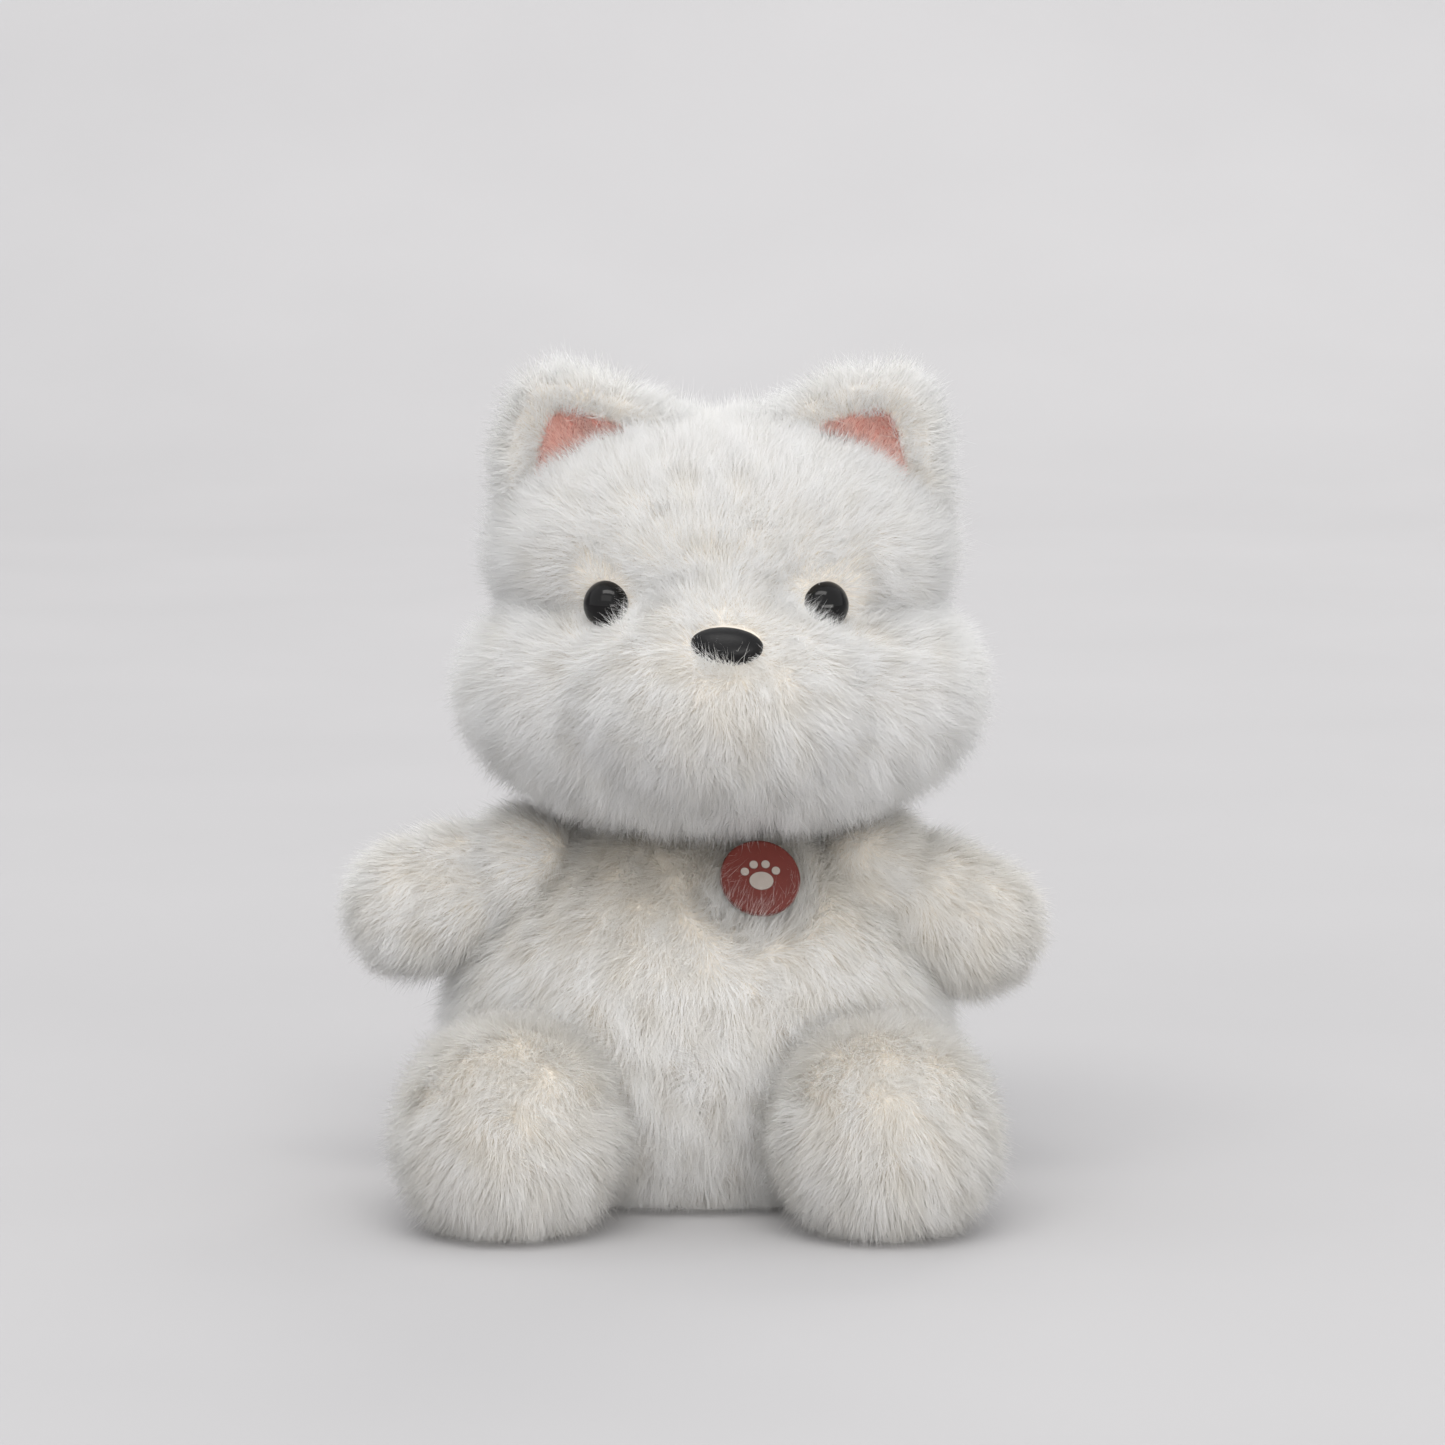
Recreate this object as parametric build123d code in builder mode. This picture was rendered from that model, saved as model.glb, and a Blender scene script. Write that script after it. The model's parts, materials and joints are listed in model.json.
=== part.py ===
# Sitting plush dog: stuffed head, neck, body, two arms, two legs, tail and two flap ears.
# Millimetres. The dog looks along -Y, its own left is +X, and the flat of its seat lies on z = 0.
import os

from build123d import *

os.makedirs("parts", exist_ok=True)

# Fabric, play between pieces and the snap-in hardware
cloth = 2.0
stuffing_gap = 0.4
joint_gap = 0.7
eye_diameter = 12.0
nose_width = 17.5
nose_height = 12.0
nose_depth = 8.0
shank_radius = 1.6
washer_radius = 5.5
washer_thickness = 1.4
badge_diameter = 20.0
badge_thickness = 1.8
badge_stud = 16.0
badge_set = 13.0
badge_x = 15.5
badge_y = -36.0
badge_z = 84.0
inlay_depth = 0.6
shank_length = 14.0
washer_set = 10.0
hardware_gap = 0.4

# Body, a pear with a flat seat and a flat shoulder seam under the neck
body_width = 120.0
body_depth = 96.0
body_height = 88.5
body_middle = 40.0
body_reach = 56.0
body_seam_y = 6.0
seat_width = 74.0
seat_depth = 58.0

# Head: skull, cheeks and muzzle grown into one, set a little to the dog's left of the body
head_shift = 6.0
skull_width = 108.0
skull_depth = 96.0
skull_height = 64.0
skull_z = 160.0
cheek_width = 124.0
cheek_depth = 100.0
cheek_height = 62.0
cheek_z = 128.0
muzzle_width = 72.0
muzzle_depth = 56.0
muzzle_height = 48.0
head_seam_y = 14.0
head_seam_z = 145.5
eye_spacing = 53.5
eye_shift = -1.3
eye_z = 152.5
nose_z = 145.7
nose_shift = 1.4

# Neck, a stuffed cap that the head rolls on
neck_z = 76.0
neck_top = body_height + 11.0
neck_shift = 3.0
neck_y = 2.0

# Arms, hanging out from the shoulders at two different droops
arm_radius = 12.5
arm_length = 42.0
arm_middle = 18.0
shoulder_x = 43.0
shoulder_y = -4.0
shoulder_z = 79.0
droops = {"left": 27.0, "right": 17.0}
arm_travel = (-8.0, 40.0)

# Legs, lying forward with the soles of the feet on the seat plane
hip_x = 37.0
hip_y = -24.0
hip_z = 24.5
hip_radius = 21.0
foot_x = 46.0
foot_y = -54.0
foot_width = 49.0
foot_length = 48.0
foot_height = 52.0
leg_travel = 25.0
leg_seam_x = 42.0

# Ears, half-round flaps on the upper corners of the skull
ear_radius = 22.5
ear_back = 3.0
ear_lining = 2.0
ear_out = 35.0
ear_slope = 33.0
ear_lift = 3.6
ear_rim = 3.5
ear_point = 1.06

# Tail, a short stuffed stub behind the seat
tail_radius = 9.0
tail_length = 34.0
tail_y = 47.0
tail_z = 24.0
tail_rise = 38.0
tail_travel = 25.0

head_x = head_shift
body_y = 2.0
skull_y = 3.0
cheek_y = -6.0
muzzle_y = cheek_y - 32.0
muzzle_z = cheek_z + 4.0
room_steps = 5
sides = {"left": 1.0, "right": -1.0}


def ellipsoid(middle, radii):
    with BuildPart() as shape:
        Sphere(10, rotation=(0, 0, 33))
        scale(by=(radii[0] / 10, radii[1] / 10, radii[2] / 10))
    return Location(middle) * shape.part


def ball(middle, radius, pole=(0, 0, 1)):
    with BuildPart(Plane(middle, z_dir=pole)) as shape:
        Sphere(radius)
    return shape.part


def rod(start, direction, radius, length):
    with BuildPart() as shape:
        with BuildSketch(Plane(start, z_dir=direction)):
            Circle(radius)
        extrude(amount=length)
    return shape.part


def take_off(solids):
    for solid in solids:
        add(solid, mode=Mode.SUBTRACT)


def finish(piece, name):
    piece.part.label = name
    export_step(piece.part, f"parts/{name}.step")


# Flattened lump of body, drawn in from its outer skin by an inset
def body_solid(inset):
    with BuildPart() as lump:
        radii = (body_width / 2 - inset, body_depth / 2 - inset, body_reach - inset)
        add(ellipsoid((0, body_y, body_middle), radii))
        split(bisect_by=Plane.XY.offset(inset), keep=Keep.TOP)
        split(bisect_by=Plane.XY.offset(body_height - inset), keep=Keep.BOTTOM)
    return lump.part


# Skull, cheeks and muzzle as one lump, flat underneath where it sits on the neck
def head_solid(inset, base):
    masses = (
        ((head_x, skull_y, skull_z), (skull_width, skull_depth, skull_height)),
        ((head_x, cheek_y, cheek_z), (cheek_width, cheek_depth, cheek_height)),
        ((head_x, muzzle_y, muzzle_z), (muzzle_width, muzzle_depth, muzzle_height)),
    )
    with BuildPart() as lump:
        for middle, sizes in masses:
            add(ellipsoid(middle, [size / 2 - inset for size in sizes]))
        split(bisect_by=Plane.XY.offset(base), keep=Keep.TOP)
    return lump.part


# Arm with a round root centred on the shoulder, hanging at its resting droop
def arm_solid(side, inset):
    sign = sides[side]
    reach = arm_length - arm_middle - inset
    with BuildPart() as limb:
        add(ball((0, 0, 0), arm_radius - inset))
        add(ellipsoid((sign * arm_middle, 0, 0), (reach, arm_radius - inset, arm_radius - inset)))
    turned = Location((0, 0, 0), (0, sign * droops[side], 0)) * limb.part
    return Location((sign * shoulder_x, shoulder_y, shoulder_z)) * turned


# Room an arm sweeps through over its travel
def arm_room(side, room):
    sign = sides[side]
    start = (sign * shoulder_x, shoulder_y, shoulder_z)
    with BuildPart() as sweep_room:
        add(ball(start, arm_radius + room))
        for step in range(room_steps):
            lift = arm_travel[0] + (arm_travel[1] - arm_travel[0]) * step / (room_steps - 1)
            heading = Vector(sign, 0, 0).rotate(Axis.Y, sign * (droops[side] - lift))
            add(rod(start, heading, arm_radius + room, 1.5 * arm_length))
    return sweep_room.part


# Leg with a round root centred on the hip and a broad foot flattened where it stands
def leg_solid(side, inset):
    foot = (foot_width / 2 - inset, foot_length / 2 - inset, foot_height / 2 - inset)
    with BuildPart() as limb:
        add(ball((-hip_x, hip_y, hip_z), hip_radius - inset))
        add(ellipsoid((-foot_x, foot_y, hip_z), foot))
        split(bisect_by=Plane.XY.offset(inset), keep=Keep.TOP)
    return limb.part if side == "right" else mirror(limb.part, about=Plane.YZ)


# Room a leg sweeps through as it lifts off the seat plane
def leg_room(side, room):
    sign = sides[side]
    reach = max(foot_width, foot_length, foot_height) / 2 + room
    with BuildPart() as sweep_room:
        add(ball((sign * hip_x, hip_y, hip_z), hip_radius + room))
        for step in range(room_steps):
            lift = leg_travel * step / (room_steps - 1)
            out = Vector(0, foot_y - hip_y, 0).rotate(Axis.X, -lift)
            add(ball((sign * foot_x, hip_y + out.Y, hip_z + out.Z), reach))
    return sweep_room.part


def tail_solid(inset):
    middle = tail_length / 2 - 2
    with BuildPart() as stub:
        add(ball((0, 0, 0), tail_radius - inset))
        radii = (tail_radius - inset, tail_length - middle - inset, tail_radius - inset)
        add(ellipsoid((0, middle, 0), radii))
    return Location((0, tail_y, tail_z), (tail_rise, 0, 0)) * stub.part


# Room the tail sweeps through as it wags
def tail_room(room):
    start = (0, tail_y, tail_z)
    with BuildPart() as sweep_room:
        add(ball(start, tail_radius + room))
        for turn in (-tail_travel, -tail_travel / 2, 0, tail_travel / 2, tail_travel):
            heading = Vector(0, 1, 0).rotate(Axis.X, tail_rise).rotate(Axis.Z, turn)
            add(rod(start, heading, tail_radius + room, 1.5 * tail_length))
    return sweep_room.part


def limb_rooms(room):
    rooms = [tail_room(room)]
    for side in sides:
        rooms += [arm_room(side, room), leg_room(side, room)]
    return rooms


# Washer that clamps a shank from inside the cloth
def washer(middle, way):
    with BuildPart() as disc:
        with BuildSketch(Plane(middle, z_dir=way * -1)):
            Circle(washer_radius)
            Circle(shank_radius + 0.1, mode=Mode.SUBTRACT)
        extrude(amount=washer_thickness)
    return disc


# Clear way through the stuffing for a shank and its washer
def hardware_way(start, way, depth):
    with BuildPart() as bore:
        add(rod(start, way * -1, shank_radius + hardware_gap, depth + washer_thickness + 4))
        add(rod(start - way * (depth - 1), way * -1, washer_radius + hardware_gap, washer_thickness + 4))
    return bore.part


# Badge: enamel disc on a stud, its paw inlay, and the washer that clamps it inside the chest
badge_way = Vector(0.15, -0.82, 0.55).normalized()
badge_at = Vector(badge_x, badge_y, badge_z)
badge_face = Plane(badge_at, x_dir=(0.82, 0.15, 0), z_dir=badge_way)


def paw_sketch(grow):
    with BuildSketch(badge_face.offset(badge_thickness - inlay_depth)) as paw:
        with Locations((0, -1.2)):
            Ellipse(3.0 + grow, 2.4 + grow)
        for across, up in ((-3.9, 1.4), (-1.5, 3.2), (1.5, 3.2), (3.9, 1.4)):
            with Locations((across, up)):
                Circle(1.05 + grow)
    return paw.sketch


with BuildPart() as badge_disc:
    with BuildSketch(badge_face):
        Circle(badge_diameter / 2)
    extrude(amount=badge_thickness)
    rims = badge_disc.edges().filter_by(GeomType.CIRCLE)
    fillet(rims.sort_by_distance(badge_at + badge_way * 40)[0], 0.8)
    add(rod(badge_at + badge_way * 0.5, badge_way * -1, shank_radius, badge_stud))
    extrude(paw_sketch(0.05), amount=2 * inlay_depth, mode=Mode.SUBTRACT)
finish(badge_disc, "badge_disc")

with BuildPart() as badge_mark:
    extrude(paw_sketch(0), amount=inlay_depth + 0.2)
finish(badge_mark, "badge_mark")

badge_washer = washer(badge_at - badge_way * badge_set, badge_way)
finish(badge_washer, "badge_washer")
badge_hole = rod(badge_at, badge_way * -1, shank_radius + 0.2, badge_stud + 1)
badge_seat = rod(badge_at - badge_way * hardware_gap, badge_way, badge_diameter / 2 + hardware_gap, 20)

# Body: seat, front and back panels, and the stuffing, all hollowed where the limbs turn
with BuildPart() as seat_area:
    with BuildSketch(Plane.XY):
        with Locations((0, body_y)):
            Ellipse(seat_width / 2, seat_depth / 2)
    extrude(amount=cloth)

with BuildPart() as body_skin:
    add(body_solid(0))
    take_off([body_solid(cloth), badge_hole, badge_seat] + limb_rooms(joint_gap))

with BuildPart() as body_seat_panel:
    add(body_skin.part)
    add(seat_area.part, mode=Mode.INTERSECT)
finish(body_seat_panel, "body_seat_panel")

body_seam = Plane.XZ.offset(-body_seam_y)
for name, half in (("body_front_panel", Keep.TOP), ("body_back_panel", Keep.BOTTOM)):
    with BuildPart() as body_panel:
        add(body_skin.part)
        take_off([seat_area.part])
        split(bisect_by=body_seam, keep=half)
    finish(body_panel, name)

with BuildPart() as body_stuffing:
    add(body_solid(cloth + stuffing_gap))
    take_off(limb_rooms(joint_gap + cloth))
    take_off([hardware_way(badge_at, badge_way, badge_set), badge_seat])
finish(body_stuffing, "body_stuffing")

# Neck: cap of cloth over a wad of stuffing, round about the point the head nods on
neck_base = body_height + joint_gap


def neck_solid(inset):
    with BuildPart() as cap:
        add(ball((neck_shift, neck_y, neck_z), neck_top - neck_z - inset))
        split(bisect_by=Plane.XY.offset(neck_base), keep=Keep.TOP)
    return cap.part


with BuildPart() as neck_panel:
    add(neck_solid(0))
    take_off([neck_solid(cloth)])
finish(neck_panel, "neck_panel")

with BuildPart() as neck_stuffing:
    add(neck_solid(cloth + stuffing_gap))
finish(neck_stuffing, "neck_stuffing")

# Eyes and their washers, each eye sunk to its middle where it meets the skull
openings = []
hardware_ways = []
eye_up = (eye_z - skull_z) / (skull_height / 2)
for side, sign in sides.items():
    way = Vector(sign * 0.42, -0.9, 0.12).normalized()
    eye_x = eye_shift + sign * eye_spacing / 2
    eye_across = eye_x / (skull_width / 2)
    eye_y = skull_y - skull_depth / 2 * (1 - eye_across**2 - eye_up**2) ** 0.5
    middle = Vector(head_x + eye_x, eye_y, eye_z)
    with BuildPart() as eye:
        add(ball(middle, eye_diameter / 2, way))
        add(rod(middle, way * -1, shank_radius, shank_length))
    finish(eye, f"{side}_eye")
    finish(washer(middle - way * washer_set, way), f"{side}_eye_washer")
    openings.append(ball(middle, eye_diameter / 2 + hardware_gap, way))
    hardware_ways.append(hardware_way(middle, way, washer_set))

# Nose, a flattened button tipped up on the muzzle
nose_way = Vector(0, -0.82, 0.57).normalized()
nose_up = (nose_z - muzzle_z) / (muzzle_height / 2)
nose_at = Vector(head_x + nose_shift, muzzle_y - muzzle_depth / 2 * (1 - nose_up**2) ** 0.5, nose_z)


def nose_button(grow):
    button = ellipsoid((0, 0, 0), (nose_width / 2 + grow, nose_height / 2 + grow, nose_depth / 2 + grow))
    return Plane(nose_at, x_dir=(1, 0, 0), z_dir=nose_way).location * button


with BuildPart() as nose:
    add(nose_button(0))
    add(rod(nose_at, nose_way * -1, shank_radius, shank_length))
finish(nose, "nose")
finish(washer(nose_at - nose_way * washer_set, nose_way), "nose_washer")
openings.append(nose_button(hardware_gap))
hardware_ways.append(hardware_way(nose_at, nose_way, washer_set))

# Head: top, face and back panels that open for the eyes and nose, and the stuffing
head_base = neck_top + joint_gap
with BuildPart() as head_skin:
    add(head_solid(0, head_base))
    take_off([head_solid(cloth, head_base + cloth)] + openings)

head_seam = Plane.XZ.offset(-head_seam_y)
brow_seam = Plane.XY.offset(head_seam_z)
for name, half in (("head_top_panel", Keep.TOP), ("head_face_panel", Keep.BOTTOM)):
    with BuildPart() as head_panel:
        add(head_skin.part)
        split(bisect_by=head_seam, keep=Keep.TOP)
        split(bisect_by=brow_seam, keep=half)
    finish(head_panel, name)

with BuildPart() as head_back_panel:
    add(head_skin.part)
    split(bisect_by=head_seam, keep=Keep.BOTTOM)
finish(head_back_panel, "head_back_panel")

with BuildPart() as head_stuffing:
    add(head_solid(cloth + stuffing_gap, head_base + cloth + stuffing_gap))
    take_off(openings + hardware_ways)
finish(head_stuffing, "head_stuffing")

# Ears: a furry back flap and a thinner lining before it, hinged just clear of the skull
ear_rise = skull_height / 2 * (1 - (ear_out / (skull_width / 2)) ** 2) ** 0.5
for side, sign in sides.items():
    along = Vector(1, 0, 0).rotate(Axis.Y, sign * ear_slope)
    out = Vector(0, 0, 1).rotate(Axis.Y, sign * ear_slope)
    root = Vector(head_x + sign * ear_out, skull_y, skull_z + ear_rise) + out * ear_lift
    flap_face = Plane(root, x_dir=along, z_dir=(0, -1, 0))
    for layer, start, thick, radius in (
        ("outer", -ear_back, ear_back, ear_radius),
        ("lining", 0.0, ear_lining, ear_radius - ear_rim),
    ):
        with BuildPart() as flap:
            with BuildSketch(flap_face.offset(start)):
                Ellipse(radius, radius * ear_point)
                with Locations((0, -radius)):
                    Rectangle(4 * radius, 2 * radius, mode=Mode.SUBTRACT)
            extrude(amount=thick)
        finish(flap, f"{side}_ear_{layer}")

# Arms: front and back panel round a roll of stuffing
arm_seam = Plane.XZ.offset(-shoulder_y)
for side in sides:
    for name, half in (("front", Keep.TOP), ("back", Keep.BOTTOM)):
        with BuildPart() as arm_panel:
            add(arm_solid(side, 0))
            take_off([arm_solid(side, cloth)])
            split(bisect_by=arm_seam, keep=half)
        finish(arm_panel, f"{side}_arm_{name}_panel")
    with BuildPart() as arm_stuffing:
        add(arm_solid(side, cloth + stuffing_gap))
    finish(arm_stuffing, f"{side}_arm_stuffing")

# Legs: inner and outer panel round a roll of stuffing
for side, sign in sides.items():
    leg_seam = Plane((sign * leg_seam_x, 0, 0), x_dir=(0, 1, 0), z_dir=(sign, 0, 0))
    for name, half in (("outer", Keep.TOP), ("inner", Keep.BOTTOM)):
        with BuildPart() as leg_panel:
            add(leg_solid(side, 0))
            take_off([leg_solid(side, cloth)])
            split(bisect_by=leg_seam, keep=half)
        finish(leg_panel, f"{side}_leg_{name}_panel")
    with BuildPart() as leg_stuffing:
        add(leg_solid(side, cloth + stuffing_gap))
    finish(leg_stuffing, f"{side}_leg_stuffing")

# Tail: one wrapped panel and its stuffing
with BuildPart() as tail_panel:
    add(tail_solid(0))
    take_off([tail_solid(cloth)])
finish(tail_panel, "tail_panel")

with BuildPart() as tail_stuffing:
    add(tail_solid(cloth + stuffing_gap))
finish(tail_stuffing, "tail_stuffing")
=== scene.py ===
import json
import math

import bmesh
import bpy
import numpy as np
from mathutils import Matrix, Vector, kdtree


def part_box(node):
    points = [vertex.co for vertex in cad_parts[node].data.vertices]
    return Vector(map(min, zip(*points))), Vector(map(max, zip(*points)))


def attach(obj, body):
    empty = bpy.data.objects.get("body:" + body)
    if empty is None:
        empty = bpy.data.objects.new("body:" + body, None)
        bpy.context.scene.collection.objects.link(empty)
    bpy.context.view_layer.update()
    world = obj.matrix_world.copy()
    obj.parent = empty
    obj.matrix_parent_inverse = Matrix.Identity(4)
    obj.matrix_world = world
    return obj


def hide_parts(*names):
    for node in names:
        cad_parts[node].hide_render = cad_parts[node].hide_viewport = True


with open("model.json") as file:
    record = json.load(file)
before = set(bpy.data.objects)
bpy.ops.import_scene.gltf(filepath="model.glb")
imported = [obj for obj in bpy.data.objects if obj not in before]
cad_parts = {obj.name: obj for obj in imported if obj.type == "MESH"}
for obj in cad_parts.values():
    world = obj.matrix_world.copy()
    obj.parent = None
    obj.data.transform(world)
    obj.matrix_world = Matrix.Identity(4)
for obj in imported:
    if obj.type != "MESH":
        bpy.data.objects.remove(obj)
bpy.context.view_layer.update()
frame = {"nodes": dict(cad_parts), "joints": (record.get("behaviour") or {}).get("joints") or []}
mm = 0.001
dice = np.random.default_rng(7)


def toLinear(hexColour):
    values = [int(hexColour[i : i + 2], 16) / 255 for i in (1, 3, 5)]
    linear = [v / 12.92 if v <= 0.04045 else ((v + 0.055) / 1.055) ** 2.4 for v in values]
    return (*linear, 1.0)


def boxOf(*nodes):
    # lowest corner, highest corner, middle and half sizes of some nodes together
    lows, highs = zip(*(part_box(node) for node in nodes))
    low = np.array([min(c[i] for c in lows) for i in range(3)])
    high = np.array([max(c[i] for c in highs) for i in range(3)])
    return low, high, (low + high) / 2, (high - low) / 2


def jointAt(name):
    return np.array(next(j for j in frame["joints"] if j["name"] == name)["pos_m"])


def unit(vectors):
    return vectors / np.maximum(np.linalg.norm(vectors, axis=-1, keepdims=True), 1e-9)


def ramp(values, start, end):
    # 0 before start, 1 after end, straight between
    return np.clip((values - start) / (end - start), 0, 1)


def addNode(nodes, links, kind, settings=None, inputs=None):
    # inputs: socket name or number -> a value, or another node's output to link
    node = nodes.new(kind)
    for name, value in (settings or {}).items():
        setattr(node, name, value)
    for socket, value in (inputs or {}).items():
        if isinstance(value, bpy.types.NodeSocket):
            links.new(value, node.inputs[socket])
        else:
            node.inputs[socket].default_value = value
    return node


def newMaterial(name):
    material = bpy.data.materials.new(name)
    material.use_nodes = True
    nodes, links = material.node_tree.nodes, material.node_tree.links
    nodes.clear()
    output = nodes.new("ShaderNodeOutputMaterial")
    return material, nodes, links, output


def addObject(name, mesh):
    thing = bpy.data.objects.new(name, mesh)
    bpy.context.scene.collection.objects.link(thing)
    return thing


# studio: long lens just above the toy, seamless paper, a broad softbox overhead and pale air all round
studio = {
    "lens": 135,  # mm
    "distance": 1.37,
    "rise": 8.2,  # degrees above the horizon
    "aim": (0.0063, 0.0, 0.1180),
    "paper": ("#b0afb0", "#b6b5b6"),
    "paperRoughness": 0.9,
    "mottleScale": 6.0,
    "air": "#f2f3f5",
    "airStrength": 1.22,
    "lamps": {
        "overheadBox": {"at": (-0.15, -0.85, 1.7), "to": (0, 0, 0.1), "size": (1.5, 0.5), "power": 12.5},
        "frontBox": {"at": (-0.8, -2.3, 1.7), "to": (0, 0, 0.1), "size": (2.2, 1.2), "power": 8.0},
        "fillBox": {"at": (1.1, -2.5, 0.26), "to": (0, 0, 0.12), "size": (2.4, 0.5), "power": 28.0},
        "wallBox": {"at": (-0.7, 0.9, 2.4), "to": (-0.5, 3, 0.9), "size": (2.0, 1.0), "power": 17.0},
        "backBox": {"at": (0.7, 1.9, 1.6), "to": (0, 0, 0.12), "size": (1.5, 0.8), "power": 15.0},
    },
    "lampColour": "#fffdfa",
}


def seamlessPaper():
    # matt paper roll: even, no gloss, the faintest mottling
    material, nodes, links, output = newMaterial("seamless_paper")
    where = addNode(nodes, links, "ShaderNodeTexCoord")
    mottle = addNode(nodes, links, "ShaderNodeTexNoise", None, {
        "Vector": where.outputs["Object"], "Scale": studio["mottleScale"],
    })
    tone = addNode(nodes, links, "ShaderNodeMixRGB", None, {
        "Fac": mottle.outputs["Fac"],
        "Color1": toLinear(studio["paper"][0]),
        "Color2": toLinear(studio["paper"][1]),
    })
    shader = addNode(nodes, links, "ShaderNodeBsdfPrincipled", None, {
        "Base Color": tone.outputs[0],
        "Roughness": studio["paperRoughness"],
        "Specular IOR Level": 0.15,
    })
    links.new(shader.outputs[0], output.inputs[0])
    return material


def buildStudio():
    aim = Vector(studio["aim"])
    rise = math.radians(studio["rise"])
    camera = addObject("camera", bpy.data.cameras.new("camera"))
    camera.location = aim + Vector((0, -math.cos(rise), math.sin(rise))) * studio["distance"]
    camera.rotation_euler = (aim - camera.location).to_track_quat("-Z", "Y").to_euler()
    camera.data.lens = studio["lens"]
    camera.data.clip_start = 0.05
    bpy.context.scene.camera = camera

    # floor that sweeps up behind the toy
    width, front, back, radius, top = 30.0, -12.0, 1.6, 1.0, 4.0
    profile = [(front, 0.0), (back, 0.0)]
    for step in range(1, 13):
        turn = math.radians(90 * step / 12)
        profile.append((back + radius * math.sin(turn), radius * (1 - math.cos(turn))))
    profile.append((back + radius, top))
    vertices = [(x, y, z) for y, z in profile for x in (-width, width)]
    faces = [(2 * i, 2 * i + 1, 2 * i + 3, 2 * i + 2) for i in range(len(profile) - 1)]
    mesh = bpy.data.meshes.new("paper_sweep")
    mesh.from_pydata(vertices, [], faces)
    mesh.polygons.foreach_set("use_smooth", [True] * len(mesh.polygons))
    mesh.materials.append(seamlessPaper())
    addObject("paper_sweep", mesh)

    for name, setting in studio["lamps"].items():
        light = bpy.data.lights.new(name, "AREA")
        light.shape = "RECTANGLE"
        light.size, light.size_y = setting["size"]
        light.energy = setting["power"]
        light.color = toLinear(studio["lampColour"])[:3]
        lamp = addObject(name, light)
        lamp.location = setting["at"]
        lamp.rotation_euler = (Vector(setting["to"]) - lamp.location).to_track_quat("-Z", "Y").to_euler()

    world = bpy.data.worlds.new("studio_air")
    bpy.context.scene.world = world
    world.use_nodes = True
    air = world.node_tree.nodes["Background"]
    air.inputs["Color"].default_value = toLinear(studio["air"])
    air.inputs["Strength"].default_value = studio["airStrength"]
    bpy.context.scene.view_settings.view_transform = "Standard"
    bpy.context.scene.cycles.diffuse_bounces = 6
    bpy.context.scene.cycles.transmission_bounces = 6
    print("studio built")


# sewn skins: the knitted backing, swollen with filling, that the pile grows from
stuffing = {
    "pressure": 0.6,
    "most": 1.2 * mm,  # how far a point may swell out
    "stiffness": 25,
    "bending": 2,
    "lastStep": 15,
}


def lumpMesh(lumps):
    # lumps: (middle, half sizes, turn matrix or None); one icosphere per lump
    shape = bmesh.new()
    for middle, half, turn in lumps:
        place = Matrix.Translation(middle) @ (turn or Matrix.Identity(4)) @ Matrix.Diagonal((*half, 1))
        bmesh.ops.create_icosphere(shape, subdivisions=5, radius=1, matrix=place)
    mesh = bpy.data.meshes.new("lump")
    shape.to_mesh(mesh)
    shape.free()
    return mesh


def applyModifiers(thing):
    graph = bpy.context.evaluated_depsgraph_get()
    mesh = bpy.data.meshes.new_from_object(thing.evaluated_get(graph))
    thing.modifiers.clear()
    thing.data = mesh


def coordinates(mesh):
    co = np.empty(len(mesh.vertices) * 3, np.float32)
    mesh.vertices.foreach_get("co", co)
    return co.reshape(-1, 3).astype(float)


def vertexNormals(mesh):
    normals = np.empty(len(mesh.vertices) * 3, np.float32)
    mesh.vertices.foreach_get("normal", normals)
    return normals.reshape(-1, 3).astype(float)


def setCoordinates(mesh, co):
    mesh.vertices.foreach_set("co", co.astype(np.float32).ravel())
    mesh.update()


def inflate(thing):
    # stuffs the cloth: swells it under pressure, with each point's travel capped
    rest = coordinates(thing.data)
    cloth = thing.modifiers.new("stuffing", "CLOTH")
    cloth.settings.quality = 4
    cloth.settings.mass = 0.3
    cloth.settings.tension_stiffness = stuffing["stiffness"]
    cloth.settings.compression_stiffness = stuffing["stiffness"]
    cloth.settings.bending_stiffness = stuffing["bending"]
    cloth.settings.use_pressure = True
    cloth.settings.uniform_pressure_force = stuffing["pressure"]
    cloth.settings.effector_weights.gravity = 0
    cloth.point_cache.frame_start = 1
    cloth.point_cache.frame_end = 20
    for step in range(1, stuffing["lastStep"] + 1):
        bpy.context.scene.frame_set(step)
    graph = bpy.context.evaluated_depsgraph_get()
    swollen = bpy.data.meshes.new_from_object(thing.evaluated_get(graph))
    move = coordinates(swollen) - rest
    length = np.linalg.norm(move, axis=1, keepdims=True)
    move *= np.minimum(1, stuffing["most"] / np.maximum(length, 1e-9))
    thing.modifiers.clear()
    setCoordinates(thing.data, rest + move)
    bpy.data.meshes.remove(swollen)
    bpy.context.scene.frame_set(1)


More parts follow.
